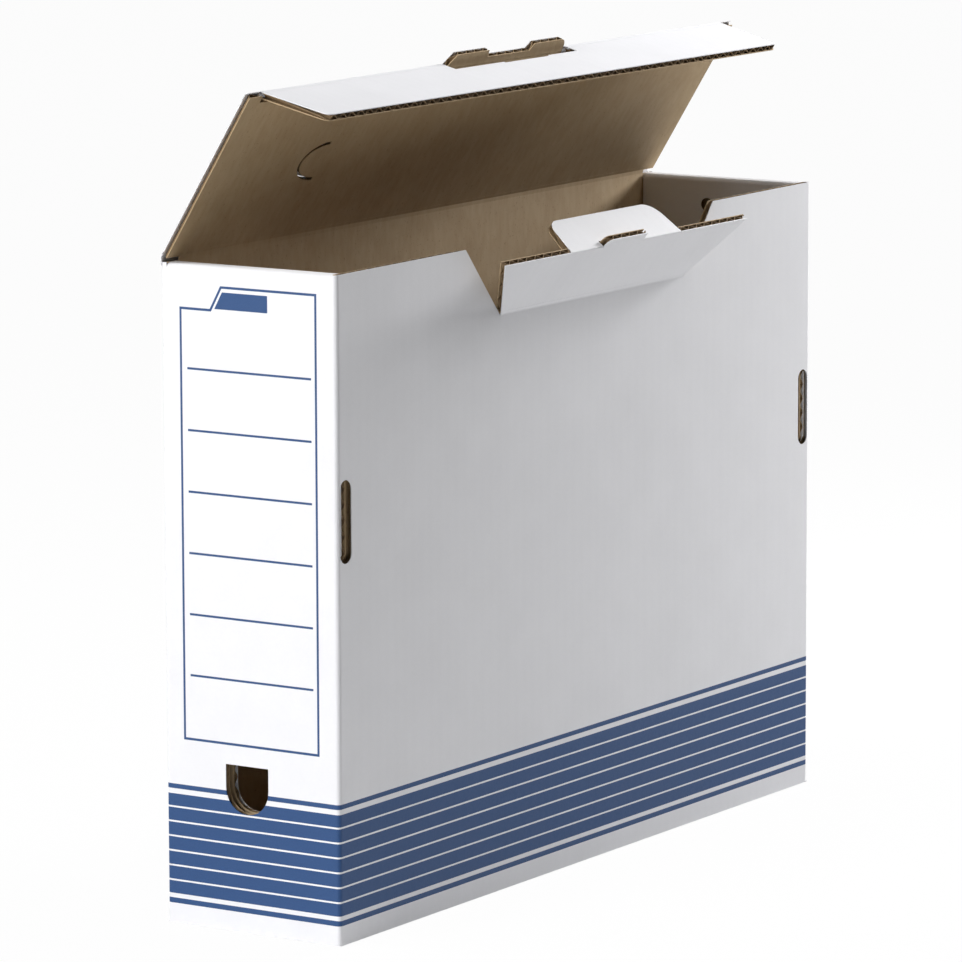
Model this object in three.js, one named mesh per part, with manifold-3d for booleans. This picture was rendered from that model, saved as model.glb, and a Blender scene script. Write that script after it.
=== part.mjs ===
// Archive storage box for A4 and foolscap papers, folded from one blank of
// corrugated board. Millimetres, +Z up. The origin is the centre of the base,
// +X points to the near side with the drop front, and the spine faces -Y.
import * as THREE from 'three';
import { mergeVertices } from 'three/addons/utils/BufferGeometryUtils.js';
import Module from 'manifold-3d';

const wasm = await Module();
wasm.setup();

// Outer size of the closed box
const width = 83;
const depth = 368;
const height = 265;
const board = 2.8;
const farRise = 1.2;

// Running clearance at the creases, and between board faces that meet
const gap = 0.3;

// End walls: outer board, ears and rolled-over inner board, folded at the top
const endLayers = 3;
const rollRadius = 2.2;
const roundSteps = 6;

// Spine finger hole: flat top, round bottom
const fingerWidth = 20.4;
const fingerTop = 67.2;
const fingerBottom = 47.6;
const fingerX = -2.4;

// Corner locks: a tab of the roll-over shows in an upright slot of the near side
const slotWidth = 8.4;
const slotHeight = 33;
const slotZ = 168;
const slotInset = 0.9;
const lockTabThickness = 3.4;
const lockTabHeight = 31;
const lockTabBevel = 2.6;
const lockTabDrop = 0.9;

// Small vent hole in the far end's inner board
const ventRadius = 3;
const ventX = -5.8;
const ventDrop = 12;

// Notch in the near side, which the front flap closes
const notchTopStart = -91.7;
const notchTopEnd = 100.2;
const notchFootStart = -66.7;
const notchFootEnd = 76.6;
const notchDepth = 28.5;

// Front flap, its small catch and its tongue
const flapHeight = 29;
const flapSideClear = 0.5;
const flapTilt = 37;
const catchStart = -15.2;
const catchEnd = 16;
const catchHeight = 3.1;
const catchCurve = 4.5;
const tongueStart = -39.6;
const tongueEnd = 45.9;
const tongueLength = 18;
const tongueTaper = 2.2;
const tongueNearRadius = 7;
const tongueFarRadius = 9;
const tongueBend = 88;

// Lid, its raised grip tab and thumb cut
const lidLength = 77;
const lidOpening = 58;
const gripStart = -45.7;
const gripEnd = 43.4;
const gripSlant = 6.2;
const gripLength = 5.8;
const gripRise = 8;
const gripRound = 3;
const recessStart = -15.7;
const recessEnd = 16.5;
const recessSlant = 2.6;
const recessLength = 2.8;
const thumbY = -105;
const thumbRadius = 9.5;
const thumbBulge = 16;
const thumbSlit = 1;
const thumbSteps = 14;

// Tuck flap on the lid, and the slot that the front flap's tongue enters
const tuckLength = 31;
const tuckBend = 72.3;
const tuckSideClear = 0.6;
const tuckTaper = 2;
const tuckCornerRadius = 3;
const lockSlotStart = -46.2;
const lockSlotEnd = 46.8;
const lockSlotLength = 6.7;
const lockDeepStart = -10;
const lockDeepEnd = 24;
const lockDeepLength = 7.6;

const paperWhite = new THREE.MeshStandardMaterial({ color: 0xe9e9ec, roughness: 0.75, metalness: 0 });
const flapWhite = new THREE.MeshStandardMaterial({ color: 0xdededf, roughness: 0.75, metalness: 0 });

const halfWidth = width / 2;
const halfDepth = depth / 2;
const halfBoard = board / 2;
const endThickness = endLayers * board;
const tuckEnd = halfDepth - endThickness - tuckSideClear;
const riseAngle = Math.atan2(farRise, depth);
const degrees = THREE.MathUtils.degToRad;

// Rim height along the depth: the far end stands a little higher than the spine
function rimAt(y) {
  return height + farRise * (y + halfDepth) / depth;
}

function toSolid(geometry) {
  geometry.deleteAttribute('normal');
  geometry.deleteAttribute('uv');
  const merged = mergeVertices(geometry, 1e-4);
  return new wasm.Manifold(new wasm.Mesh({
    numProp: 3,
    vertProperties: new Float32Array(merged.attributes.position.array),
    triVerts: new Uint32Array(merged.index.array),
  }));
}

function toMesh(name, solid, material) {
  const data = solid.getMesh();
  const geometry = new THREE.BufferGeometry();
  geometry.setAttribute('position', new THREE.BufferAttribute(data.vertProperties, 3));
  geometry.setIndex(new THREE.BufferAttribute(data.triVerts, 1));
  geometry.computeVertexNormals();
  const mesh = new THREE.Mesh(geometry, material);
  mesh.name = name;
  return mesh;
}

function extrude(shape, length) {
  return new THREE.ExtrudeGeometry(shape, { depth: length, bevelEnabled: false, curveSegments: roundSteps });
}

// A board with its outline in X and Y, centred on the plane Z = 0
function flatBoard(shape) {
  return toSolid(extrude(shape, board).translate(0, 0, -halfBoard));
}

// An outline in Y and Z, run along X from one value to another
function alongX(shape, from, to) {
  const axes = new THREE.Matrix4().makeBasis(
    new THREE.Vector3(0, 1, 0), new THREE.Vector3(0, 0, 1), new THREE.Vector3(1, 0, 0));
  return toSolid(extrude(shape, to - from).applyMatrix4(axes).translate(from, 0, 0));
}

// An outline in X and Z, run along Y from one value to another
function alongY(shape, from, to) {
  return toSolid(extrude(shape, to - from).rotateX(Math.PI / 2).translate(0, to, 0));
}

function block(x0, x1, y0, y1, z0, z1) {
  const box = new THREE.BoxGeometry(x1 - x0, y1 - y0, z1 - z0);
  return toSolid(box.translate((x0 + x1) / 2, (y0 + y1) / 2, (z0 + z1) / 2));
}

// A round bead along Y, the rolled root of a board at its crease
function bead(y0, y1) {
  const rod = new THREE.CylinderGeometry(halfBoard, halfBoard, y1 - y0, 4 * roundSteps);
  return toSolid(rod.translate(0, (y0 + y1) / 2, 0));
}

function polygon(points) {
  return new THREE.Shape(points.map(([a, b]) => new THREE.Vector2(a, b)));
}

// End wall: three boards deep, with the fold of the roll-over rounding its rim
function endWall(outerY, inward) {
  const innerY = outerY + inward * endThickness;
  const top = rimAt(outerY);
  const shape = new THREE.Shape();
  shape.moveTo(outerY, 0);
  shape.lineTo(outerY, top - rollRadius);
  shape.quadraticCurveTo(outerY, top, outerY + inward * rollRadius, top);
  shape.lineTo(innerY - inward * rollRadius, top);
  shape.quadraticCurveTo(innerY, top, innerY, top - rollRadius);
  shape.lineTo(innerY, 0);
  shape.closePath();
  return alongX(shape, -halfWidth, halfWidth);
}

function sideWall(fromX, toX) {
  const outline = polygon([
    [-halfDepth, 0], [halfDepth, 0], [halfDepth, rimAt(halfDepth)], [-halfDepth, rimAt(-halfDepth)],
  ]);
  return alongX(outline, fromX, toX);
}

function fingerHole() {
  const radius = fingerWidth / 2;
  const shape = new THREE.Shape();
  shape.moveTo(fingerX - radius, fingerTop);
  shape.lineTo(fingerX - radius, fingerBottom + radius);
  shape.absarc(fingerX, fingerBottom + radius, radius, Math.PI, 2 * Math.PI, false);
  shape.lineTo(fingerX + radius, fingerTop);
  shape.closePath();
  return alongY(shape, -halfDepth - 1, -halfDepth + endThickness + 1);
}

// Upright slot with round ends, cut into the near side beside an end wall
function lockSlot(centreY) {
  const radius = slotWidth / 2;
  const reach = slotHeight / 2 - radius;
  const shape = new THREE.Shape();
  shape.moveTo(centreY + radius, slotZ - reach);
  shape.absarc(centreY, slotZ + reach, radius, 0, Math.PI, false);
  shape.absarc(centreY, slotZ - reach, radius, Math.PI, 2 * Math.PI, false);
  shape.closePath();
  return alongX(shape, halfWidth - board, halfWidth + 1);
}

// End of the lock tab inside the slot, with its lower corner cut away
function lockTab(centreY) {
  const half = lockTabThickness / 2;
  const foot = slotZ - lockTabHeight / 2;
  const shape = polygon([
    [centreY - half, foot + lockTabBevel], [centreY + half, foot],
    [centreY + half, foot + lockTabHeight], [centreY - half, foot + lockTabHeight],
  ]);
  return alongX(shape, halfWidth - board - 1, halfWidth - lockTabDrop);
}

function notchCut(foldZ) {
  const slope = (notchTopEnd - notchFootEnd) / notchDepth;
  const above = 6;
  return alongX(polygon([
    [notchFootStart, foldZ - gap / 2], [notchFootEnd, foldZ - gap / 2],
    [notchTopEnd + slope * above, foldZ + notchDepth + above],
    [notchTopStart - slope * above, foldZ + notchDepth + above],
  ]), halfWidth - board - 1, halfWidth + 1);
}

const foldZ = height - notchDepth;

// The box itself: base, both sides and the two rolled-over end walls
function boxBody() {
  const slotCentre = halfDepth - slotInset - slotWidth / 2;
  const vent = new THREE.CylinderGeometry(ventRadius, ventRadius, board, 4 * roundSteps);
  vent.translate(ventX, halfDepth - endThickness + halfBoard, rimAt(halfDepth) - ventDrop);
  return block(-halfWidth, halfWidth, -halfDepth, halfDepth, 0, board)
    .add(sideWall(-halfWidth, board - halfWidth))
    .add(sideWall(halfWidth - board, halfWidth).subtract(notchCut(foldZ)))
    .add(endWall(-halfDepth, 1))
    .add(endWall(halfDepth, -1))
    .subtract(fingerHole())
    .subtract(toSolid(vent))
    .subtract(lockSlot(-slotCentre))
    .subtract(lockSlot(slotCentre))
    .add(lockTab(-slotCentre))
    .add(lockTab(slotCentre));
}

// Thumb cut: a slit along half an ellipse, its chord square to the hinge
function thumbCut() {
  const centreX = lidLength / 2;
  const outer = [];
  const inner = [];
  for (let i = 0; i <= thumbSteps; i += 1) {
    const angle = Math.PI * i / thumbSteps;
    outer.push([centreX + thumbRadius * Math.cos(angle), thumbY - thumbBulge * Math.sin(angle)]);
    inner.unshift([
      centreX + (thumbRadius - thumbSlit) * Math.cos(angle),
      thumbY - (thumbBulge - thumbSlit) * Math.sin(angle),
    ]);
  }
  return toSolid(extrude(polygon([...outer, ...inner]), 2 * board).translate(0, 0, -board));
}

// Grip tab: two lobes beside a recess, bent up a little past the lid's plane
function gripTab() {
  const shape = new THREE.Shape();
  shape.moveTo(0, gripStart);
  shape.lineTo(gripLength, gripStart + gripSlant);
  shape.lineTo(gripLength, recessStart);
  shape.lineTo(recessLength, recessStart);
  shape.lineTo(recessLength, recessEnd);
  shape.lineTo(gripLength, recessEnd + recessSlant);
  shape.lineTo(gripLength, gripEnd - gripRound);
  shape.quadraticCurveTo(gripLength, gripEnd, gripLength - gripRound, gripEnd);
  shape.lineTo(0, gripEnd);
  shape.closePath();
  return flatBoard(shape).rotate([0, -gripRise, 0]);
}

// Lid panel, with its root rounded about the hinge line at X = 0. Its end is cut
// back and bevelled for the tuck flap, and its corners reach past the flap's ends.
function lidPanel() {
  const reach = lidLength - halfBoard - gap;
  const panel = polygon([[0, -halfDepth], [reach, -halfDepth], [reach, halfDepth], [0, halfDepth]]);
  const bevel = polygon([
    [reach, halfBoard / 3], [lidLength, halfBoard / 3],
    [lidLength, -board], [reach - board / 2 - gap, -board],
  ]);
  const cornerStart = tuckEnd + gap;
  const corner = (from, to) => flatBoard(polygon([[reach - 1, from], [lidLength, from], [lidLength, to], [reach - 1, to]]))
    .add(bead(from, to).translate([lidLength, 0, 0]));
  const gripRoot = polygon([
    [lidLength - board, gripStart], [lidLength, gripStart],
    [lidLength, gripEnd], [lidLength - board, gripEnd],
  ]);
  return flatBoard(panel)
    .subtract(alongY(bevel, -cornerStart, cornerStart))
    .add(bead(-halfDepth, halfDepth))
    .add(corner(-halfDepth, -cornerStart))
    .add(corner(cornerStart, halfDepth))
    .add(flatBoard(gripRoot))
    .add(bead(gripStart, gripEnd).translate([lidLength, 0, 0]))
    .add(gripTab().translate([lidLength, 0, 0]))
    .subtract(thumbCut());
}

// Tuck flap, its root rounded about the ridge, with tapered ends and the lock slot
function tuckFlap() {
  const tipEnd = tuckEnd - tuckTaper;
  const shape = new THREE.Shape();
  shape.moveTo(0, -tuckEnd);
  shape.lineTo(tuckLength - tuckCornerRadius, -tipEnd - 1);
  shape.quadraticCurveTo(tuckLength, -tipEnd, tuckLength, -tipEnd + tuckCornerRadius);
  shape.lineTo(tuckLength, tipEnd - tuckCornerRadius);
  shape.quadraticCurveTo(tuckLength, tipEnd, tuckLength - tuckCornerRadius, tipEnd + 1);
  shape.lineTo(0, tuckEnd);
  shape.closePath();
  const slot = block(-board, lockSlotLength, lockSlotStart, lockSlotEnd, -board, board);
  const deepSlot = block(0, lockDeepLength, lockDeepStart, lockDeepEnd, -board, board);
  return flatBoard(shape).add(bead(-tuckEnd, tuckEnd)).subtract(slot).subtract(deepSlot);
}

// Front flap, upright: its outer face lies on X = 0 and its fold on Z = 0.
// Behind the tongue its top is mitred, and the small catch stands above it.
function frontFlap() {
  const slope = (notchTopEnd - notchFootEnd) / notchDepth;
  const clear = flapSideClear * Math.hypot(1, slope);
  const start = (z) => notchFootStart - slope * z + clear;
  const end = (z) => notchFootEnd + slope * z - clear;
  const foot = gap / 2;
  const outline = polygon([
    [start(foot), foot], [end(foot), foot], [end(flapHeight), flapHeight], [start(flapHeight), flapHeight],
  ]);
  const catchShape = new THREE.Shape();
  catchShape.moveTo(catchStart, flapHeight - board);
  catchShape.lineTo(catchStart, flapHeight);
  catchShape.quadraticCurveTo(
    catchStart, flapHeight + catchHeight, catchStart + catchCurve, flapHeight + catchHeight);
  catchShape.lineTo(catchEnd, flapHeight + catchHeight);
  catchShape.lineTo(catchEnd, flapHeight - board);
  catchShape.closePath();
  const mitre = polygon([
    [gap, flapHeight - gap], [gap, flapHeight + 1],
    [-board - gap, flapHeight + 1], [-board - gap, flapHeight - board - 4 * gap],
  ]);
  return alongX(outline, -board, 0)
    .subtract(alongY(mitre, tongueStart - gap, tongueEnd + gap))
    .add(alongX(catchShape, -board, 0))
    .translate([-gap / 2, 0, 0]);
}

// Tongue, lying level: its upper face is Z = 0 and it reaches towards -X.
// Its root is mitred, and the opening that the catch was cut from stays open.
function frontTongue() {
  const shape = new THREE.Shape();
  const near = tongueStart + tongueTaper;
  const far = tongueEnd - tongueTaper / 2;
  shape.moveTo(0, tongueStart);
  shape.lineTo(0, tongueEnd);
  shape.lineTo(tongueFarRadius - tongueLength, far);
  shape.quadraticCurveTo(-tongueLength, far, -tongueLength, far - tongueFarRadius);
  shape.lineTo(-tongueLength, near + tongueNearRadius);
  shape.quadraticCurveTo(-tongueLength, near, tongueNearRadius - tongueLength, near);
  shape.closePath();
  const mitre = polygon([[1, gap / 2], [1, -board - 1], [-board - 1, -board - 1], [gap / 2, 0]]);
  const catchHole = block(
    -catchHeight - gap, 1, catchStart - gap, catchEnd + gap, -2 * board, board);
  return toSolid(extrude(shape, board).translate(0, 0, -board))
    .subtract(alongY(mitre, tongueStart - 1, tongueEnd + 1))
    .subtract(catchHole);
}

const archiveBox = new THREE.Group();
archiveBox.add(toMesh('box_body', boxBody(), paperWhite));

// The lid turns about a line along the back side's rim
const lid = new THREE.Group();
lid.position.set(halfBoard - halfWidth, 0, (rimAt(-halfDepth) + rimAt(halfDepth)) / 2 + halfBoard + gap);
lid.rotation.set(riseAngle, -degrees(lidOpening), 0, 'XYZ');
lid.add(toMesh('lid_panel', lidPanel(), paperWhite));
archiveBox.add(lid);

const tuck = new THREE.Group();
tuck.position.set(lidLength, 0, 0);
tuck.rotation.y = degrees(tuckBend);
tuck.add(toMesh('lid_tuck_flap', tuckFlap(), flapWhite));
lid.add(tuck);

// The front flap turns about the outer edge of the notch's foot
const front = new THREE.Group();
front.position.set(halfWidth + gap / 2, 0, foldZ);
front.rotation.y = degrees(flapTilt);
front.add(toMesh('front_flap', frontFlap(), flapWhite));
archiveBox.add(front);

// The tongue turns about the outer edge of the front flap's top
const tongue = new THREE.Group();
tongue.position.set(-gap / 2, 0, flapHeight);
tongue.rotation.y = degrees(90 - tongueBend);
tongue.add(toMesh('front_flap_tongue', frontTongue(), flapWhite));
front.add(tongue);

export default archiveBox;
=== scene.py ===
import math
import bpy
from mathutils import Matrix, Vector


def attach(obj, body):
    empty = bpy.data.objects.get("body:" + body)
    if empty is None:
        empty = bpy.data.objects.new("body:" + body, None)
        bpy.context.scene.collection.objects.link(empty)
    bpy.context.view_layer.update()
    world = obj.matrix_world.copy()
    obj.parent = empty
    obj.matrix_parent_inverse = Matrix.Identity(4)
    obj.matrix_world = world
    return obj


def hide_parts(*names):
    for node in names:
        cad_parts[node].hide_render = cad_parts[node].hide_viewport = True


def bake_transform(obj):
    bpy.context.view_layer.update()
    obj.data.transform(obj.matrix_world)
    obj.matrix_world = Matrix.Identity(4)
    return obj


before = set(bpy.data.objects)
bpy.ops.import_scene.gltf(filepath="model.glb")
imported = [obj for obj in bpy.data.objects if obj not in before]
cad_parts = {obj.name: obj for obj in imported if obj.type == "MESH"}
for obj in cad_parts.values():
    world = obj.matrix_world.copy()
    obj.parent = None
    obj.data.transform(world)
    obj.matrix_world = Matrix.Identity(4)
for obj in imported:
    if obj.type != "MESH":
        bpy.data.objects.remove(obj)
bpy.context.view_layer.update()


# Camera
# A long lens a little above the box. It looks at the spine and the near side at the angle of
# the photograph.
CAMERA_PLACE = Vector((1.35348, -2.11787, 0.56226))
CAMERA_LENS = 228.73
CAMERA_YAW = math.radians(122.789)
CAMERA_PITCH = math.radians(9.178)
CAMERA_ROLL = math.radians(-0.167)

forward = Vector((
    math.cos(CAMERA_YAW) * math.cos(CAMERA_PITCH),
    math.sin(CAMERA_YAW) * math.cos(CAMERA_PITCH),
    -math.sin(CAMERA_PITCH),
))
level_right = Vector((math.sin(CAMERA_YAW), -math.cos(CAMERA_YAW), 0))
level_up = level_right.cross(forward)
right = math.cos(CAMERA_ROLL) * level_right + math.sin(CAMERA_ROLL) * level_up
up = math.cos(CAMERA_ROLL) * level_up - math.sin(CAMERA_ROLL) * level_right
camera = bpy.data.objects.new("camera", bpy.data.cameras.new("camera"))
camera.data.lens = CAMERA_LENS
camera.data.sensor_width = 36
camera.data.clip_end = 100
camera.matrix_world = Matrix((
    (right.x, up.x, -forward.x, CAMERA_PLACE.x),
    (right.y, up.y, -forward.y, CAMERA_PLACE.y),
    (right.z, up.z, -forward.z, CAMERA_PLACE.z),
    (0, 0, 0, 1),
))
bpy.context.scene.collection.objects.link(camera)
bpy.context.scene.camera = camera
bpy.context.scene.view_settings.view_transform = "Standard"


# Outer walls
# One band of white-faced corrugated board, creased round the four upright corners. The near
# side has the notch of the drop front, and the blue print runs round the foot of the walls.
BOARD = 2.8
LINER = 0.35
MEDIUM = 0.3
FLUTE_PITCH = 6.3
FLUTE_SAMPLES = 10
GAP = 0.3
HALF_WIDTH = 41.5
HALF_DEPTH = 184.0
RIM = 265.0
FAR_RISE = 1.2
ROLL_DROP = 2.3
END_THICKNESS = 8.4
WALL_CREASE = 0.3
NOTCH_FOOT = (-66.7, 76.6)
NOTCH_FOOT_Z = 236.35
NOTCH_SLOPE = (0.865, 0.828)
SLOT_CENTRE = 178.3
SLOT_Z = 168.0
SLOT_WIDTH = 8.0
SLOT_HEIGHT = 33.0
FINGER_X = -2.4
FINGER_WIDTH = 20.4
FINGER_BOTTOM = 47.6
FINGER_TOP = 67.2
PATCH_REACH = 16.0
PATCH_Z = (40.0, 75.0)


class Wire:
    """A number on a node's socket. Arithmetic on it adds Math nodes."""

    def __init__(self, finish, socket):
        self.finish = finish
        self.socket = socket

    def math(self, operation, *values):
        return self.finish.node("ShaderNodeMath", {"operation": operation}, dict(enumerate(values)))

    def __add__(self, other):
        return self.math("ADD", self, other)

    def __radd__(self, other):
        return self.math("ADD", other, self)

    def __sub__(self, other):
        return self.math("SUBTRACT", self, other)

    def __rsub__(self, other):
        return self.math("SUBTRACT", other, self)

    def __mul__(self, other):
        return self.math("MULTIPLY", self, other)

    def __rmul__(self, other):
        return self.math("MULTIPLY", other, self)

    def __truediv__(self, other):
        return self.math("DIVIDE", self, other)

    def __abs__(self):
        return self.math("ABSOLUTE", self)

    def __lt__(self, other):
        return self.math("LESS_THAN", self, other)

    def __gt__(self, other):
        return self.math("GREATER_THAN", self, other)

    def sine(self):
        return self.math("SINE", self)

    def whole(self):
        return self.math("ROUND", self)

    def either(self, other):
        return self.math("MAXIMUM", self, other)

    def both(self, other):
        return self.math("MINIMUM", self, other)


class Finish:
    """A node tree that is written as expressions."""

    def __init__(self, tree):
        self.tree = tree
        tree.nodes.clear()

    def node(self, kind, settings=None, inputs=None, output=0):
        made = self.tree.nodes.new(kind)
        for name, value in (settings or {}).items():
            setattr(made, name, value)
        for name, value in (inputs or {}).items():
            if isinstance(value, Wire):
                self.tree.links.new(value.socket, made.inputs[name])
            else:
                made.inputs[name].default_value = value
        return Wire(self, made.outputs[output]) if made.outputs else made

    def mix(self, factor, first, second):
        return self.node("ShaderNodeMix", {"data_type": "RGBA"}, {0: factor, 6: first, 7: second}, 2)

    def place(self):
        """The rest place of the surface, as a vector in metres and as x, y and z in millimetres."""
        vector = self.node("ShaderNodeTexCoord", output="Object")
        parts = [self.node("ShaderNodeSeparateXYZ", None, {0: vector}, axis) for axis in range(3)]
        return vector, [1000 * part for part in parts]

    def noise(self, vector, scale, detail=3.0, stretch=(1, 1, 1)):
        stretched = self.node("ShaderNodeVectorMath", {"operation": "MULTIPLY"}, {0: vector, 1: stretch})
        return self.node("ShaderNodeTexNoise", None, {"Vector": stretched, "Scale": scale, "Detail": detail})


def ink(red, green, blue):
    """A colour as it is seen on a screen, turned into the shader's linear values."""
    def linear(value):
        value /= 255
        return value / 12.92 if value <= 0.04045 else ((value + 0.055) / 1.055) ** 2.4
    return (linear(red), linear(green), linear(blue), 1)


WHITE_PAPER = ink(240, 240, 243)
WHITE_PAPER_SHADE = ink(233, 233, 236)
PRINT_BLUE = ink(40, 73, 120)
PRINT_BLUE_THIN = ink(46, 79, 127)
BANDS = ((54.6, 56.5), (11.9, 52.5), (7.93, 10.07))
BAND_LINE_FIRST = 17.35
BAND_LINE_STEP = 5.97
BAND_LINE_HALF = 0.36
BAND_LINES = 6
LINE_MARGIN = 2.0
FRAME_LEFT = -32.2
FRAME_RIGHT = 31.8
FRAME_BOTTOM = 75.4
FRAME_TOP = 256.8
FRAME_STEP_Z = 247.5
FRAME_STEP_X = -17.9
FRAME_SLANT = (5.1, 9.3)
FRAME_LINE_HALF = 0.5
WRITING_FIRST = 101.2
WRITING_STEP = 24.52
WRITING_HALF = 0.45
WRITING_LINES = 6
WRITING_REACH = (-29.2, 29.6)
LABEL_BLOCK_Z = (248.1, 254.9)
LABEL_BLOCK_LEFT = -16.0
LABEL_BLOCK_RIGHT = 9.2
SPINE_SKIN = 0.6


def stripes(z):
    """The blue bands, with thin white lines in the wide one."""
    bands = [(z > low) * (z < high) for low, high in BANDS]
    step = (z - BAND_LINE_FIRST) / BAND_LINE_STEP
    near_line = abs(step - step.whole()) * BAND_LINE_STEP < BAND_LINE_HALF
    last_line = BAND_LINE_FIRST + (BAND_LINES - 1) * BAND_LINE_STEP
    lines = near_line * (z > BAND_LINE_FIRST - LINE_MARGIN) * (z < last_line + LINE_MARGIN)
    return bands[0].either(bands[1] * (1 - lines)).either(bands[2])


def label_frame(x, z):
    """The frame for a label, with a stepped corner, its writing lines and a plain block."""
    middle_x = (FRAME_LEFT + FRAME_RIGHT) / 2
    middle_z = (FRAME_BOTTOM + FRAME_TOP) / 2
    across = abs(x - middle_x) - (FRAME_RIGHT - FRAME_LEFT) / 2
    upright = abs(z - middle_z) - (FRAME_TOP - FRAME_BOTTOM) / 2
    slant = math.hypot(*FRAME_SLANT)
    beside = ((FRAME_STEP_X - x) * (FRAME_SLANT[1] / slant)
              + (z - FRAME_STEP_Z) * (FRAME_SLANT[0] / slant))
    corner = (z - FRAME_STEP_Z).both(beside)
    frame_line = abs(across.either(upright).either(corner)) < FRAME_LINE_HALF
    step = (z - WRITING_FIRST) / WRITING_STEP
    writing = abs(step - step.whole()) * WRITING_STEP < WRITING_HALF
    writing = writing * (x > WRITING_REACH[0]) * (x < WRITING_REACH[1])
    last_line = WRITING_FIRST + (WRITING_LINES - 1) * WRITING_STEP
    writing = writing * (z > WRITING_FIRST - LINE_MARGIN) * (z < last_line + LINE_MARGIN)
    lean = FRAME_SLANT[0] / FRAME_SLANT[1]
    block = (x - (z - LABEL_BLOCK_Z[0]) * lean > LABEL_BLOCK_LEFT) * (x < LABEL_BLOCK_RIGHT)
    block = block * (z > LABEL_BLOCK_Z[0]) * (z < LABEL_BLOCK_Z[1])
    return frame_line.either(writing).either(block)


def white_liner(name, flute_axis=1, printed=None):
    """Matt white paper. The flutes under it show as faint ribs, and ink lies on some of it."""
    material = bpy.data.materials.new(name)
    material.use_nodes = True
    finish = Finish(material.node_tree)
    vector, place = finish.place()
    cloud = finish.noise(vector, 38, 4)
    fibre = finish.noise(vector, 900, 3)
    rib = (place[flute_axis] * (2 * math.pi / FLUTE_PITCH)).sine()
    shade = (cloud - 0.5) * 1.3 + (fibre - 0.5) * 0.5 + rib * 0.05 + 0.5
    colour = finish.mix(shade, WHITE_PAPER, WHITE_PAPER_SHADE)
    roughness = 0.62 + (fibre - 0.5) * 0.2
    if printed:
        mask = printed(*place)
        grain = finish.noise(vector, 1500, 2)
        blue = finish.mix(grain * 1.6 - 0.4, PRINT_BLUE, PRINT_BLUE_THIN)
        colour = finish.mix(mask, colour, blue)
        roughness = roughness - mask * 0.12
    height = rib * 0.007 + fibre * 0.03 + cloud * 0.12
    bump = finish.node("ShaderNodeBump", None, {"Strength": 0.55, "Distance": 0.001, "Height": height})
    shader = finish.node("ShaderNodeBsdfPrincipled", None, {
        "Base Color": colour, "Roughness": roughness, "Specular IOR Level": 0.3, "Normal": bump,
    })
    finish.node("ShaderNodeOutputMaterial", None, {"Surface": shader})
    return material


KRAFT = ink(192, 169, 135)
KRAFT_DARK = ink(176, 151, 116)
KRAFT_FLECK = ink(142, 116, 84)


def kraft_liner(name, flute_axis=1):
    """Unbleached brown paper: long fibres, darker flecks and the ribs of the flutes."""
    material = bpy.data.materials.new(name)
    material.use_nodes = True
    finish = Finish(material.node_tree)
    vector, place = finish.place()
    cloud = finish.noise(vector, 55, 4)
    fibre = finish.noise(vector, 420, 5, (0.35, 1, 0.35))
    fleck = finish.noise(vector, 1300, 2, (0.6, 1, 0.6))
    rib = (place[flute_axis] * (2 * math.pi / FLUTE_PITCH)).sine()
    shade = (cloud - 0.5) * 1.1 + (fibre - 0.5) * 1.1 + rib * 0.03 + 0.45
    colour = finish.mix(shade, KRAFT, KRAFT_DARK)
    colour = finish.mix((fleck > 0.68) * 0.5, colour, KRAFT_FLECK)
    height = rib * 0.004 + fibre * 0.03 + cloud * 0.1
    bump = finish.node("ShaderNodeBump", None, {"Strength": 0.6, "Distance": 0.001, "Height": height})
    shader = finish.node("ShaderNodeBsdfPrincipled", None, {
        "Base Color": colour, "Roughness": 0.78 + (fibre - 0.5) * 0.2,
        "Specular IOR Level": 0.25, "Normal": bump,
    })
    finish.node("ShaderNodeOutputMaterial", None, {"Surface": shader})
    return material


MEDIUM_BROWN = ink(146, 122, 92)
MEDIUM_GREY = ink(116, 98, 74)


def flute_paper(name):
    """The wavy paper between the liners: grey-brown, fibrous and a little darker."""
    material = bpy.data.materials.new(name)
    material.use_nodes = True
    finish = Finish(material.node_tree)
    vector, _ = finish.place()
    fibre = finish.noise(vector, 700, 4)
    cloud = finish.noise(vector, 90, 2)
    colour = finish.mix((fibre - 0.5) * 1.6 + cloud, MEDIUM_BROWN, MEDIUM_GREY)
    bump = finish.node("ShaderNodeBump", None, {"Strength": 0.5, "Distance": 0.0005, "Height": fibre})
    shader = finish.node("ShaderNodeBsdfPrincipled", None, {
        "Base Color": colour, "Roughness": 0.85 - fibre * 0.1, "Specular IOR Level": 0.2, "Normal": bump,
    })
    finish.node("ShaderNodeOutputMaterial", None, {"Surface": shader})
    return material


TIGHTEST_BEND = 0.04
SAME_PLACE = 1e-5


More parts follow.
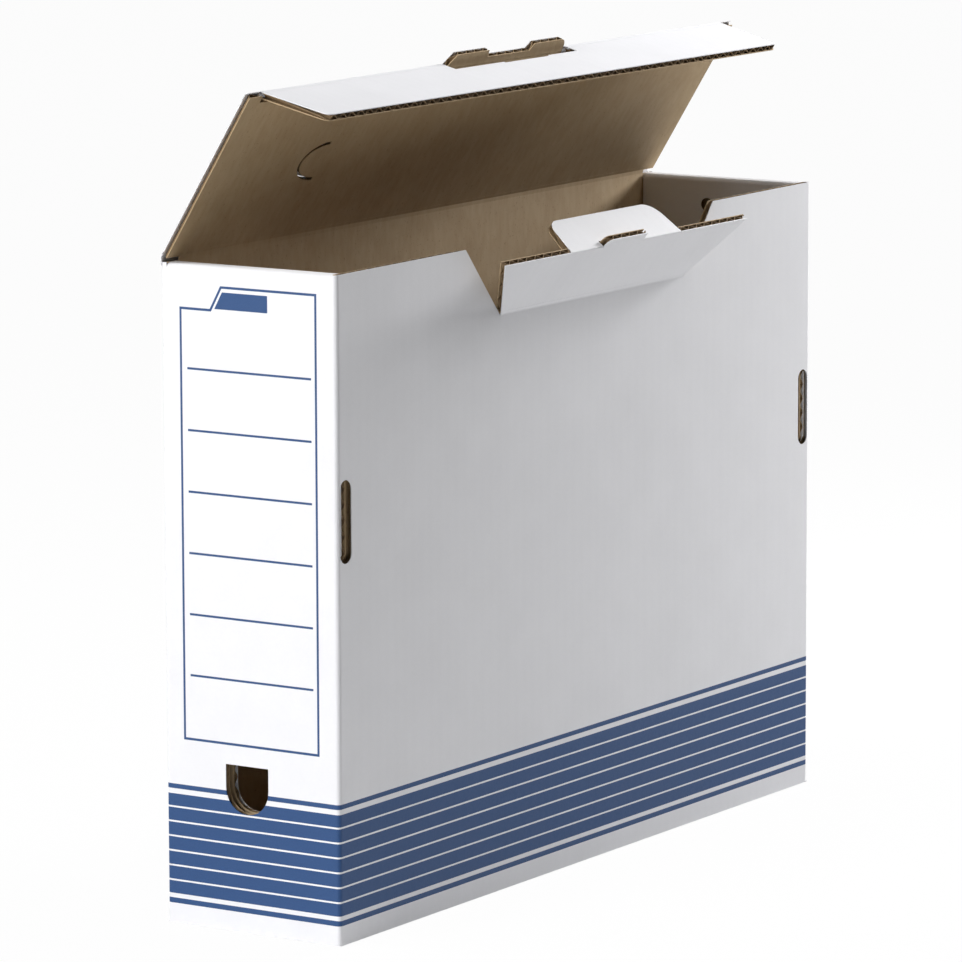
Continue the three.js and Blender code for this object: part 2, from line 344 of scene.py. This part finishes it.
def folded_line(corners, radius):
    """A line creased at its corners. It gives the corners' distances along the line, a function
    for the point at a distance with an offset to the right, and the distances that bends need."""
    points = [Vector(corner) for corner in corners]
    lengths = [(b - a).length for a, b in zip(points, points[1:])]
    marks = [sum(lengths[:i]) for i in range(len(points))]
    courses = [(b - a).normalized() for a, b in zip(points, points[1:])]

    def at(distance, offset):
        for i in range(1, len(courses)):
            before = courses[i - 1]
            turn = math.atan2(before.x * courses[i].y - before.y * courses[i].x, before.dot(courses[i]))
            reach = radius * math.tan(abs(turn) / 2)
            share = (distance - marks[i] + reach) / (2 * reach)
            if 0 < share < 1:
                side = 1 if turn > 0 else -1
                normal = Vector((before.y, -before.x))
                centre = points[i] - before * reach - normal * side * radius
                swung = Matrix.Rotation(turn * share, 2) @ normal
                return centre + swung * side * max(radius + side * offset, TIGHTEST_BEND)
        i = max([0] + [k for k in range(len(courses)) if marks[k] <= distance])
        course = courses[i]
        return points[i] + course * (distance - marks[i]) + Vector((course.y, -course.x)) * offset

    bends = [mark + radius * share for mark in marks[1:-1] for share in (-1, -0.5, 0, 0.5, 1)]
    return marks, at, bends


def columns(loops, stations):
    """An outline with holes, cut into upright strips at the stations."""
    edges = [pair for loop in loops for pair in zip(loop, loop[1:] + loop[:1])]
    strips = []
    for a, b in zip(stations, stations[1:]):
        middle = (a + b) / 2
        crossed = []
        for (u0, v0), (u1, v1) in edges:
            if min(u0, u1) <= middle < max(u0, u1):
                rise = (v1 - v0) / (u1 - u0)
                crossed.append([v0 + rise * (u - u0) for u in (middle, a, b)])
        crossed.sort()
        for low, high in zip(crossed[::2], crossed[1::2]):
            strips.append([(a, low[1]), (b, low[2]), (b, high[2]), (a, high[1])])
    return strips


def layer(loops, place, middle, thickness, step, cuts=()):
    """A sheet of paper of some thickness with that outline, its middle offset as given."""
    ends = [u for loop in loops for u, _ in loop]
    low, high = min(ends), max(ends)
    count = max(1, math.ceil((high - low) / step))
    stations = [low + (high - low) * i / count for i in range(count + 1)] + ends
    stations = sorted(stations + [cut for cut in cuts if low < cut < high])
    stations = [s for i, s in enumerate(stations) if i == 0 or s - stations[i - 1] > SAME_PLACE]
    keys, faces, rims = {}, [], set()
    for strip in columns(loops, stations):
        ring = []
        for u, v in strip:
            index = keys.setdefault((round(u, 4), round(v, 4)), len(keys))
            if index not in ring:
                ring.append(index)
        if len(ring) > 2:
            faces.append(ring)
            rims.update(zip(ring, ring[1:] + ring[:1]))
    total = len(keys)
    verts = [place(u, v, middle(u) + thickness / 2) for u, v in keys]
    verts += [place(u, v, middle(u) - thickness / 2) for u, v in keys]
    solid = faces + [[i + total for i in reversed(ring)] for ring in faces]
    solid += [[a + total, b + total, b, a] for a, b in rims if (b, a) not in rims]
    return verts, solid


def board(loops, place, cuts=(), coarse=25.0, layers="omi"):
    """Corrugated board: outer liner, wavy medium and inner liner. Loops may depend on the offset."""
    shift = (BOARD - LINER) / 2
    swing = BOARD / 2 - LINER - MEDIUM / 2
    at = loops if callable(loops) else lambda offset: loops

    def wave(u):
        return swing * math.sin(2 * math.pi * u / FLUTE_PITCH)

    made = []
    if "o" in layers:
        made.append((0, layer(at(shift), place, lambda u: shift, LINER, coarse, cuts)))
    if "i" in layers:
        made.append((1, layer(at(-shift), place, lambda u: -shift, LINER, coarse, cuts)))
    if "m" in layers:
        made.append((2, layer(at(0), place, wave, MEDIUM, FLUTE_PITCH / FLUTE_SAMPLES, cuts)))
    return made


def make_piece(name, sheets, materials):
    """One object from sheets in millimetres, each with the number of its material."""
    verts, faces, numbers = [], [], []
    for number, (points, rings) in sheets:
        start = len(verts)
        verts += [Vector(point) / 1000 for point in points]
        faces += [[i + start for i in ring] for ring in rings]
        numbers += [number] * len(rings)
    mesh = bpy.data.meshes.new(name)
    mesh.from_pydata(verts, [], faces)
    mesh.polygons.foreach_set("material_index", numbers)
    for material in materials:
        mesh.materials.append(material)
    mesh.validate()
    piece = bpy.data.objects.new(name, mesh)
    bpy.context.scene.collection.objects.link(piece)
    bpy.context.view_layer.objects.active = piece
    piece.select_set(True)
    bpy.ops.object.mode_set(mode="EDIT")
    bpy.ops.mesh.select_all(action="SELECT")
    bpy.ops.mesh.normals_make_consistent(inside=False)
    bpy.ops.object.mode_set(mode="OBJECT")
    piece.select_set(False)
    return piece


def arc(centre_u, centre_v, radius_u, radius_v, start, end, steps=12):
    """Points along an ellipse between two angles in degrees."""
    angles = [math.radians(start + (end - start) * i / steps) for i in range(steps + 1)]
    return [(centre_u + radius_u * math.cos(a), centre_v + radius_v * math.sin(a)) for a in angles]


def rim_at(y):
    """The rim's height, which rises a little from the spine to the far end."""
    return RIM + FAR_RISE * (y + HALF_DEPTH) / (2 * HALF_DEPTH)


def slot_loop(centre):
    """An upright slot with round ends."""
    radius = SLOT_WIDTH / 2
    reach = SLOT_HEIGHT / 2 - radius
    head = arc(centre, SLOT_Z + reach, radius, radius, 0, 180)
    return head + arc(centre, SLOT_Z - reach, radius, radius, 180, 360)


def finger_loop(centre):
    """A hole with a flat top and a round foot."""
    radius = FINGER_WIDTH / 2
    return arc(centre, FINGER_BOTTOM + radius, radius, radius, 180, 360) + [
        (centre + radius, FINGER_TOP), (centre - radius, FINGER_TOP)]


middle_x = HALF_WIDTH - BOARD / 2
middle_y = HALF_DEPTH - BOARD / 2
wall_marks, wall_at, wall_bends = folded_line(
    [(-middle_x, middle_y), (-middle_x, -middle_y), (middle_x, -middle_y), (middle_x, middle_y),
     (-middle_x, middle_y)], WALL_CREASE)
near_start = wall_marks[2] + middle_y


def wall_place(distance, z, offset):
    """Round the box: distance is Y along the near side, and goes on round the corners."""
    x, y = wall_at(distance + near_start, offset)
    return x, y, z


def near_top(inset):
    """The near side's rim with the notch, from the far end to the spine."""
    foot_near, foot_far = NOTCH_FOOT
    near = foot_near - NOTCH_SLOPE[0] * (rim_at(foot_near) - NOTCH_FOOT_Z)
    far = foot_far + NOTCH_SLOPE[1] * (rim_at(foot_far) - NOTCH_FOOT_Z)
    return [
        (inset, rim_at(inset)), (far, rim_at(far)), (foot_far, NOTCH_FOOT_Z),
        (foot_near, NOTCH_FOOT_Z), (near, rim_at(near)), (-inset, rim_at(-inset)),
    ]


# Distances run along the band: the back side from the far end, the spine, the near side and
# the far end.
spine_top = rim_at(-HALF_DEPTH) - ROLL_DROP
far_top = rim_at(HALF_DEPTH) - ROLL_DROP
inner_y = HALF_DEPTH - END_THICKNESS
spine_to_back = -middle_y - 2 * middle_x
half_board = BOARD / 2
corner = middle_y + half_board
wall_start = spine_to_back - 2 * middle_y
wall_end = middle_y + 2 * middle_x
wall_outline = [(wall_start, LINER), (wall_end, LINER), (wall_end, rim_at(corner)),
                (wall_end - half_board, rim_at(corner)), (wall_end - half_board, far_top), (corner, far_top)]
wall_outline += near_top(corner)
wall_outline += [(-corner, spine_top), (spine_to_back + half_board, spine_top),
                 (spine_to_back + half_board, rim_at(-corner)), (wall_start, rim_at(corner))]
finger_centre = -middle_y - (middle_x - FINGER_X)
wall_holes = [slot_loop(-SLOT_CENTRE), slot_loop(SLOT_CENTRE), finger_loop(finger_centre)]
wall_cuts = [bend - near_start for bend in wall_bends]

# The wavy medium is made only where a cut shows it: in the near side and round the finger hole.
near_outline = [(-middle_y, LINER), (middle_y, LINER)] + near_top(middle_y)
patch_near, patch_far = finger_centre - PATCH_REACH, finger_centre + PATCH_REACH
patch_foot, patch_head = PATCH_Z
patch = [(patch_near, patch_foot), (patch_far, patch_foot), (patch_far, patch_head), (patch_near, patch_head)]
walls = board([wall_outline] + wall_holes, wall_place, wall_cuts, layers="oi")
walls += board([near_outline] + wall_holes[:2], wall_place, layers="m")
walls += board([patch, wall_holes[2]], wall_place, layers="m")


def wall_print(x, y, z):
    """Bands all round, and the label frame where the surface is the spine's."""
    return stripes(z).either(label_frame(x, z) * (y < -HALF_DEPTH + SPINE_SKIN))


printed_white = white_liner("printed_white_liner", 1, wall_print)
plain_white = white_liner("white_liner")
end_white = white_liner("rolled_white_liner", 0)
kraft = kraft_liner("kraft_liner")
flutes = flute_paper("flute_paper")
outer_walls = make_piece("outer_walls", walls, [printed_white, kraft, flutes])
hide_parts("box_body")
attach(outer_walls, "box")


# Base
# The middle panel of the blank, which the walls are folded up from. Its white face is
# underneath, and papers stand on its brown one.
BASE_GAP = 0.1


def base_place(y, x, offset):
    return x, y, BOARD / 2 - offset


def base_loops(offset):
    """The white sheet underneath reaches the walls' faces, and the rest lies between the walls."""
    inset = 0 if offset > 0 else BOARD + BASE_GAP
    across, along = HALF_WIDTH - inset, HALF_DEPTH - inset
    return [[(-along, -across), (along, -across), (along, across), (-along, across)]]


base_board = make_piece("base_board", board(base_loops, base_place), [plain_white, kraft, flutes])
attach(base_board, "box")


# Rolled-over end walls
# Each end wall goes up outside, over the ears of the side walls and down again inside, so
# its rim is a white fold and its inner face is white too. The finger hole goes through both
# boards at the spine, and the far end's inner board has a small round hole.
VENT_X = -5.8
VENT_DROP = 12.0
VENT_RADIUS = 3.0
ROLL_CREASE = 0.9
ROLL_SIDE_GAP = 0.05


def rolled_end(name, side, hole):
    """The roll-over of one end, from its outer edge down to the base inside."""
    top = rim_at(side * HALF_DEPTH)
    inside = HALF_DEPTH - END_THICKNESS + BOARD / 2
    outside = HALF_DEPTH - BOARD / 2
    marks, at, bends = folded_line([
        (outside, top - ROLL_DROP), (outside, top - BOARD / 2),
        (inside, top - BOARD / 2), (inside, BOARD + BASE_GAP)], ROLL_CREASE)

    def place(distance, x, offset):
        along, z = at(distance, offset)
        return x, side * along, z

    shoulder = marks[2] + ROLL_CREASE
    wide = HALF_WIDTH - BOARD - ROLL_SIDE_GAP
    narrow = HALF_WIDTH - BOARD - GAP
    outline = [
        (0, -wide), (shoulder, -wide), (shoulder, -narrow), (marks[-1], -narrow),
        (marks[-1], narrow), (shoulder, narrow), (shoulder, wide), (0, wide),
    ]
    down = marks[2] + top - BOARD / 2
    loop = [(down - z, x) for x, z in hole]
    piece = make_piece(name, board([outline, loop], place, bends), [end_white, kraft, flutes])
    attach(piece, "box")


rolled_end("spine_roll_over", -1, finger_loop(FINGER_X))
far_rim = rim_at(HALF_DEPTH)
rolled_end("far_roll_over", 1, arc(VENT_X, far_rim - VENT_DROP, VENT_RADIUS, VENT_RADIUS, 0, 345, 23))


# Corner locks
# A tab at the edge of each roll-over snaps into the upright slot of the near side. Its cut
# end shows in the slot, and its lower corner is cut away.
LOCK_TAB_CENTRE = 178.9
LOCK_TAB_HALF = 1.7
LOCK_TAB_HEIGHT = 31.0
LOCK_TAB_BEVEL = (2.6, 1.2)
LOCK_TAB_ROOT = 1.0
LOCK_TAB_REACH = 40.6


def lock_tab(name, side):
    """The tab at one end of the near side: side is -1 at the spine and 1 at the far end."""
    foot = SLOT_Z - LOCK_TAB_HEIGHT / 2
    head = foot + LOCK_TAB_HEIGHT
    inner = HALF_WIDTH - BOARD - LOCK_TAB_ROOT
    outline = [
        (foot, inner), (head, inner), (head, LOCK_TAB_REACH),
        (foot + LOCK_TAB_BEVEL[0], LOCK_TAB_REACH), (foot, LOCK_TAB_REACH - LOCK_TAB_BEVEL[1]),
    ]
    stretch = 2 * LOCK_TAB_HALF / BOARD

    def place(z, x, offset):
        return x, side * (LOCK_TAB_CENTRE + offset * stretch), z

    piece = make_piece(name, board([outline], place), [end_white, kraft, flutes])
    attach(piece, "box")


lock_tab("spine_lock_tab", -1)
lock_tab("far_lock_tab", 1)


# Lid
# A wide panel on the back side's rim, white outside and brown inside, with a grip tab on its
# far edge and a half-round thumb cut. It stands open.
LID_PIVOT = (-40.1, 0, 267.3)
LID_OPENING = 58.0
LID_LENGTH = 77.0
LID_EDGE = 75.3
LID_ROOT = 0.7
LID_BEVEL = 0.4
CORNER_REACH = 77.3
TUCK_END = 175.0
GRIP_START = -45.7
GRIP_END = 43.4
GRIP_SLANT = 6.2
GRIP_LENGTH = 5.8
GRIP_RISE = 8.0
GRIP_ROUND = 3.0
RECESS_START = -15.7
RECESS_END = 16.5
RECESS_SLANT = 2.6
RECESS_LENGTH = 2.8
THUMB_Y = -105.0
THUMB_RADIUS = 9.5
THUMB_BULGE = 16.0
THUMB_SLIT = 1.5
THUMB_SLIT_OUTSIDE = 0.35
THUMB_STEPS = 20

rise = math.atan2(FAR_RISE, 2 * HALF_DEPTH)
lid_frame = (Matrix.Translation(LID_PIVOT) @ Matrix.Rotation(rise, 4, "X")
             @ Matrix.Rotation(-math.radians(LID_OPENING), 4, "Y"))


def lid_place(y, along, offset):
    return lid_frame @ Vector((along, y, offset))


def grip_place(y, along, offset):
    bent = Matrix.Rotation(-math.radians(GRIP_RISE), 4, "Y") @ Vector((along - LID_LENGTH, 0, offset))
    return lid_frame @ Vector((LID_LENGTH + bent.x, y, bent.z))


def lid_loops(offset):
    """The lid's edge is cut back under its white face, where the tuck flap folds in."""
    edge = LID_EDGE - LID_BEVEL * (half_board - offset)
    slit = THUMB_SLIT_OUTSIDE if offset > 0 else THUMB_SLIT
    centre = LID_LENGTH / 2
    thumb = arc(THUMB_Y, centre, THUMB_BULGE, THUMB_RADIUS, 90, 270, THUMB_STEPS)
    thumb += arc(THUMB_Y, centre, THUMB_BULGE - slit, THUMB_RADIUS - slit, 270, 90, THUMB_STEPS)
    return [[
        (-HALF_DEPTH, LID_ROOT), (HALF_DEPTH, LID_ROOT), (HALF_DEPTH, CORNER_REACH),
        (TUCK_END + GAP, CORNER_REACH), (TUCK_END + GAP, edge), (GRIP_END, edge),
        (GRIP_END, LID_LENGTH), (GRIP_START, LID_LENGTH), (GRIP_START, edge),
        (-TUCK_END - GAP, edge), (-TUCK_END - GAP, CORNER_REACH), (-HALF_DEPTH, CORNER_REACH),
    ], thumb]


grip_outline = [
    (GRIP_START, LID_LENGTH), (GRIP_START + GRIP_SLANT, LID_LENGTH + GRIP_LENGTH),
    (RECESS_START, LID_LENGTH + GRIP_LENGTH), (RECESS_START, LID_LENGTH + RECESS_LENGTH),
    (RECESS_END, LID_LENGTH + RECESS_LENGTH), (RECESS_END + RECESS_SLANT, LID_LENGTH + GRIP_LENGTH),
]
grip_outline += arc(GRIP_END - GRIP_ROUND, LID_LENGTH + GRIP_LENGTH - GRIP_ROUND,
                    GRIP_ROUND, GRIP_ROUND, 90, 0, 6)
grip_outline.append((GRIP_END, LID_LENGTH))
lid_sheets = board(lid_loops, lid_place)
lid_sheets += board([grip_outline], grip_place)
lid_board = make_piece("lid_board", lid_sheets, [plain_white, kraft, flutes])
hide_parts("lid_panel")
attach(lid_board, "lid")


# Tuck flap
# The strip beyond the lid's ridge, which goes down inside the near side. It has the slot
# that the drop front's tongue enters.
TUCK_BEND = 72.3
TUCK_LENGTH = 31.0
TUCK_TAPER = 2.0
TUCK_ROOT = 0.9
TUCK_ROUND = 3.0
LOCK_SLOT = (-46.2, 46.8, 6.7)
LOCK_DEEP = (-10.0, 24.0, 7.6)

tuck_frame = (lid_frame @ Matrix.Translation((LID_LENGTH, 0, 0))
              @ Matrix.Rotation(math.radians(TUCK_BEND), 4, "Y"))


def tuck_place(y, along, offset):
    return tuck_frame @ Vector((along, y, offset))


tuck_tip = TUCK_END - TUCK_TAPER
tuck_outline = [(-TUCK_END, TUCK_ROOT)]
tuck_outline += [(LOCK_SLOT[0], TUCK_ROOT), (LOCK_SLOT[0], LOCK_SLOT[2]), (LOCK_DEEP[0], LOCK_SLOT[2])]
tuck_outline += [(LOCK_DEEP[0], LOCK_DEEP[2]), (LOCK_DEEP[1], LOCK_DEEP[2]), (LOCK_DEEP[1], LOCK_SLOT[2])]
tuck_outline += [(LOCK_SLOT[1], LOCK_SLOT[2]), (LOCK_SLOT[1], TUCK_ROOT), (TUCK_END, TUCK_ROOT)]
tuck_outline += arc(tuck_tip - TUCK_ROUND, TUCK_LENGTH - TUCK_ROUND, TUCK_ROUND, TUCK_ROUND, 0, 90, 6)
tuck_outline += arc(TUCK_ROUND - tuck_tip, TUCK_LENGTH - TUCK_ROUND, TUCK_ROUND, TUCK_ROUND, 90, 180, 6)
tuck_board = make_piece("tuck_flap_board", board([tuck_outline], tuck_place), [plain_white, kraft, flutes])
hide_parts("lid_tuck_flap")
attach(tuck_board, "tuck_flap")


# Drop front
# A flap that folds down from the foot of the notch. It leans outwards, with the open flutes
# showing along its top edge and a small catch in the middle.
FLAP_PLACE = (41.65, 0, 236.5)
FLAP_TILT = 37.0
FLAP_HEIGHT = 29.0
FLAP_FOOT = 0.4
FLAP_CLEAR = 0.66
FLAP_FACE = 0.15
FLAP_MITRE = (0.6, 1.4)
CATCH = (-15.2, 16.0)
CATCH_HEIGHT = 3.1
CATCH_CURVE = 4.5
TONGUE = (-39.6, 45.9)
FLAP_MIDDLE = -FLAP_FACE - BOARD / 2

flap_frame = Matrix.Translation(FLAP_PLACE) @ Matrix.Rotation(math.radians(FLAP_TILT), 4, "Y")


def flap_place(y, z, offset):
    return flap_frame @ Vector((FLAP_MIDDLE + offset, y, z))


def flap_side(side, z):
    """Where the flap ends at a height: side 0 is towards the spine, side 1 towards the far end."""
    reach = NOTCH_SLOPE[1] * z - FLAP_CLEAR
    return NOTCH_FOOT[0] - reach if side == 0 else NOTCH_FOOT[1] + reach


def flap_loops(offset):
    """The flap's outline, cut back under its white face where the tongue folds in."""
    mitre = FLAP_HEIGHT - FLAP_MITRE[0] - FLAP_MITRE[1] * (half_board - offset)
    head = FLAP_HEIGHT + CATCH_HEIGHT
    curve = arc(CATCH[0] + CATCH_CURVE, head - CATCH_HEIGHT, CATCH_CURVE, CATCH_HEIGHT, 90, 180, 6)
    return [[
        (flap_side(0, FLAP_FOOT), FLAP_FOOT), (flap_side(1, FLAP_FOOT), FLAP_FOOT),
        (flap_side(1, FLAP_HEIGHT), FLAP_HEIGHT), (TONGUE[1] + GAP, FLAP_HEIGHT), (TONGUE[1] + GAP, mitre),
        (CATCH[1], mitre), (CATCH[1], head), *curve, (CATCH[0], mitre),
        (TONGUE[0] - GAP, mitre), (TONGUE[0] - GAP, FLAP_HEIGHT), (flap_side(0, FLAP_HEIGHT), FLAP_HEIGHT),
    ]]


flap_board = make_piece("drop_front_board", board(flap_loops, flap_place), [plain_white, kraft, flutes])
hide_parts("front_flap")
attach(flap_board, "front_flap")


# Tongue
# The end of the drop front, folded inwards with rounded corners. It enters the lid's slot,
# and the opening at its root is where the catch was cut from.
TONGUE_BEND = 88.0
TONGUE_LENGTH = 18.0
TONGUE_TAPER = 2.2
TONGUE_MITRE = (0.5, 1.35)
TONGUE_ROUNDS = (7.0, 9.0)

tongue_frame = (flap_frame @ Matrix.Translation((-FLAP_FACE, 0, FLAP_HEIGHT))
                @ Matrix.Rotation(math.radians(90 - TONGUE_BEND), 4, "Y"))


def tongue_place(y, reach, offset):
    return tongue_frame @ Vector((-reach, y, offset - BOARD / 2))


def tongue_loops(offset):
    """The tongue's outline, cut back at its root to match, with the catch's opening."""
    root = TONGUE_MITRE[0] + TONGUE_MITRE[1] * (half_board - offset)
    hole = CATCH_HEIGHT + GAP
    near, far = TONGUE[0] + TONGUE_TAPER, TONGUE[1] - TONGUE_TAPER / 2
    first, second = TONGUE_ROUNDS
    return [[
        (TONGUE[0], root), (CATCH[0] - GAP, root), (CATCH[0] - GAP, max(root, hole)),
        (CATCH[1] + GAP, max(root, hole)), (CATCH[1] + GAP, root), (TONGUE[1], root),
        *arc(far - second, TONGUE_LENGTH - second, second, second, 0, 90, 8),
        *arc(near + first, TONGUE_LENGTH - first, first, first, 90, 180, 8),
    ]]


tongue_board = make_piece("tongue_board", board(tongue_loops, tongue_place), [plain_white, kraft, flutes])
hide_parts("front_flap_tongue")
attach(tongue_board, "tongue")


# Creases
# The liners go on unbroken over each crease, so a narrow strip of paper bends from one panel
# to the next: white outside the folds, and brown inside the lid's hinge.
CREASE_LIFT = 0.04
CREASE_STEP = 0.4
CREASE_STEPS = 8
SHARP_FOLD = 0.01


def crease(name, line, radius, reaches, material, frame_of, bodies):
    """A strip of liner along a folded line in X and Z, its right-hand face outermost. It bends
    from one body to the other between its start and its end, or rides on its only body."""
    marks, at, bends = folded_line(line, radius)

    def place(distance, y, offset):
        x, z = at(distance, offset + CREASE_LIFT)
        return frame_of @ Vector((x, y, z))

    turns = [marks[1] + (marks[-1] - marks[1]) * share / CREASE_STEPS for share in range(CREASE_STEPS)]
    sheets = []
    for low, high in reaches:
        outline = [(0, low), (marks[-1], low), (marks[-1], high), (0, high)]
        sheets.append((0, layer([outline], place, lambda u: -LINER / 2, LINER, CREASE_STEP, bends + turns)))
    piece = make_piece(name, sheets, [material])
    if len(bodies) == 1:
        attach(piece, bodies[0])
    else:
        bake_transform(piece)


WALL_STRIP = 3.2
OUTER_STRIP = 2.2
INNER_STRIP = 2.4
INNER_FOLD = (1.6, 0.9)
INNER_FOLD_RADIUS = 0.3

level = Matrix.Translation(LID_PIVOT) @ Matrix.Rotation(rise, 4, "X")
lean = math.radians(LID_OPENING)
along_lid = Vector((math.cos(lean), 0, math.sin(lean)))
out_of_lid = Vector((-math.sin(lean), 0, math.cos(lean)))


def lid_point(along, out):
    """A point of the open lid's section in X and Z, seen from its pivot."""
    return along * along_lid.x + out * out_of_lid.x, along * along_lid.z + out * out_of_lid.z


def round_pivot(start, end):
    """Points of the white face's arc about a pivot, between two angles in degrees."""
    return arc(0, 0, half_board, half_board, start, end, CREASE_STEPS)


outer_line = [lid_point(OUTER_STRIP, half_board)] + round_pivot(90 + LID_OPENING, 180)
outer_line.append((-half_board, -WALL_STRIP))
crease("lid_hinge_outer_crease", outer_line, SHARP_FOLD, [(-HALF_DEPTH, HALF_DEPTH)], plain_white, level,
       ("box", "lid"))
inner_line = [(half_board, -WALL_STRIP), (half_board, -INNER_FOLD[0])]
inner_line += [lid_point(INNER_FOLD[1], -half_board), lid_point(INNER_STRIP, -half_board)]
crease("lid_hinge_inner_crease", inner_line, INNER_FOLD_RADIUS, [(-inner_y, inner_y)], kraft, level,
       ("box", "lid"))

RIDGE_STRIP = (2.4, 1.6)
GRIP_SIDE_GAP = 0.4

bend = math.radians(TUCK_BEND)
corner_line = [(LID_LENGTH - RIDGE_STRIP[0], half_board)]
corner_line += [(LID_LENGTH + u, v) for u, v in round_pivot(90, 90 - TUCK_BEND)]
ridge_line = corner_line + [(LID_LENGTH + RIDGE_STRIP[1] * math.cos(bend) + half_board * math.sin(bend),
                             -RIDGE_STRIP[1] * math.sin(bend) + half_board * math.cos(bend))]
ridge_reaches = [(-TUCK_END, GRIP_START - GRIP_SIDE_GAP), (LOCK_SLOT[1], TUCK_END)]
crease("ridge_crease", ridge_line[::-1], SHARP_FOLD, ridge_reaches, plain_white, lid_frame,
       ("lid", "tuck_flap"))
corner_reaches = [(-HALF_DEPTH, -TUCK_END - GAP), (TUCK_END + GAP, HALF_DEPTH)]
crease("ridge_corner_folds", corner_line[::-1], SHARP_FOLD, corner_reaches, plain_white, lid_frame, ("lid",))

FLAP_STRIP = (1.8, 2.0)
FLAP_FOLD = 0.3
FLAP_FOLD_RADIUS = 0.12

tilt = Matrix.Rotation(-math.radians(FLAP_TILT), 2)
flap_line = [tuple(tilt @ Vector((-FLAP_FACE, z))) for z in (FLAP_STRIP[0], FLAP_FOLD)]
flap_line += [(-FLAP_FACE, -FLAP_FOLD), (-FLAP_FACE, -FLAP_STRIP[1])]
crease("drop_front_crease", flap_line[::-1], FLAP_FOLD_RADIUS, [NOTCH_FOOT], plain_white,
       Matrix.Translation(FLAP_PLACE),
       ("box", "front_flap"))

TONGUE_STRIP = 1.6
TONGUE_FOLD_RADIUS = 0.6

back = math.radians(90 - TONGUE_BEND)
tongue_line = [(-FLAP_FACE, FLAP_HEIGHT - TONGUE_STRIP), (-FLAP_FACE, FLAP_HEIGHT),
               (-FLAP_FACE - TONGUE_STRIP * math.cos(back), FLAP_HEIGHT + TONGUE_STRIP * math.sin(back))]
tongue_reaches = [(TONGUE[0], CATCH[0] - GAP), (CATCH[1] + GAP, TONGUE[1])]
crease("tongue_crease", tongue_line, TONGUE_FOLD_RADIUS, tongue_reaches, plain_white, flap_frame,
       ("front_flap", "tongue"))


# Floor and lights
# A pale floor that the camera sees as white, and four soft lamps: a wide one on the spine, one
# overhead, a faint one high over the near side, and a low one beyond the far end.
WORLD_LIGHT = 0.010
FLOOR_SIZE = 6.0
SHADOW_SHARE = 0.03


def seen_directly(finish):
    """1 for rays that show the background itself, also in gloss and through glass."""
    path = "ShaderNodeLightPath"
    camera_ray = finish.node(path, output="Is Camera Ray")
    glossy_ray = finish.node(path, output="Is Glossy Ray")
    clear_ray = finish.node(path, output="Is Transmission Ray")
    return camera_ray.either(glossy_ray).either(clear_ray)


world = bpy.data.worlds.new("studio")
bpy.context.scene.world = world
world.use_nodes = True
sky = Finish(world.node_tree)
dim = sky.node("ShaderNodeBackground", None, {"Color": (1, 1, 1, 1), "Strength": WORLD_LIGHT})
bright = sky.node("ShaderNodeBackground", None, {"Color": (1, 1, 1, 1), "Strength": 1.0})
sky_mix = sky.node("ShaderNodeMixShader", None, {0: seen_directly(sky), 1: dim, 2: bright})
sky.node("ShaderNodeOutputWorld", None, {"Surface": sky_mix})

floor_material = bpy.data.materials.new("pale_floor")
floor_material.use_nodes = True
ground = Finish(floor_material.node_tree)
ground_vector, _ = ground.place()
ground_cloud = ground.noise(ground_vector, 3, 2)
ground_colour = ground.mix(ground_cloud, ink(240, 240, 240), ink(244, 244, 244))
pale = ground.node("ShaderNodeBsdfDiffuse", None, {"Color": ground_colour})
glow = ground.node("ShaderNodeEmission", None, {"Color": (1, 1, 1, 1), "Strength": 1.0})
share = seen_directly(ground) * (1 - SHADOW_SHARE)
floor_mix = ground.node("ShaderNodeMixShader", None, {0: share, 1: pale, 2: glow})
ground.node("ShaderNodeOutputMaterial", None, {"Surface": floor_mix})
floor_mesh = bpy.data.meshes.new("floor")
floor_mesh.from_pydata([(-FLOOR_SIZE, -FLOOR_SIZE, 0), (FLOOR_SIZE, -FLOOR_SIZE, 0),
                        (FLOOR_SIZE, FLOOR_SIZE, 0), (-FLOOR_SIZE, FLOOR_SIZE, 0)], [], [(0, 1, 2, 3)])
floor_mesh.materials.append(floor_material)
floor = bpy.data.objects.new("floor", floor_mesh)
floor.location = (0, 0, -0.0004)
bpy.context.scene.collection.objects.link(floor)


def soft_lamp(name, place, target, size, power):
    lamp = bpy.data.lights.new(name, "AREA")
    lamp.shape = "SQUARE"
    lamp.size = size
    lamp.energy = power
    stand = bpy.data.objects.new(name, lamp)
    stand.location = place
    stand.visible_camera = False
    stand.rotation_mode = "QUATERNION"
    stand.rotation_quaternion = (Vector(target) - Vector(place)).to_track_quat("-Z", "Y")
    bpy.context.scene.collection.objects.link(stand)


soft_lamp("spine_lamp", (-0.5, -2.0, 0.7), (0, 0, 0.18), 1.0, 32.0)
soft_lamp("overhead_lamp", (-0.3, -0.45, 1.5), (0, 0, 0.3), 0.5, 9.0)
soft_lamp("close_high_lamp", (0.4, 0.4, 1.0), (0, 0, 0.18), 0.3, 1.5)
soft_lamp("low_far_lamp", (0.2, 0.9, 0.55), (0, 0, 0.18), 0.2, 9.8)
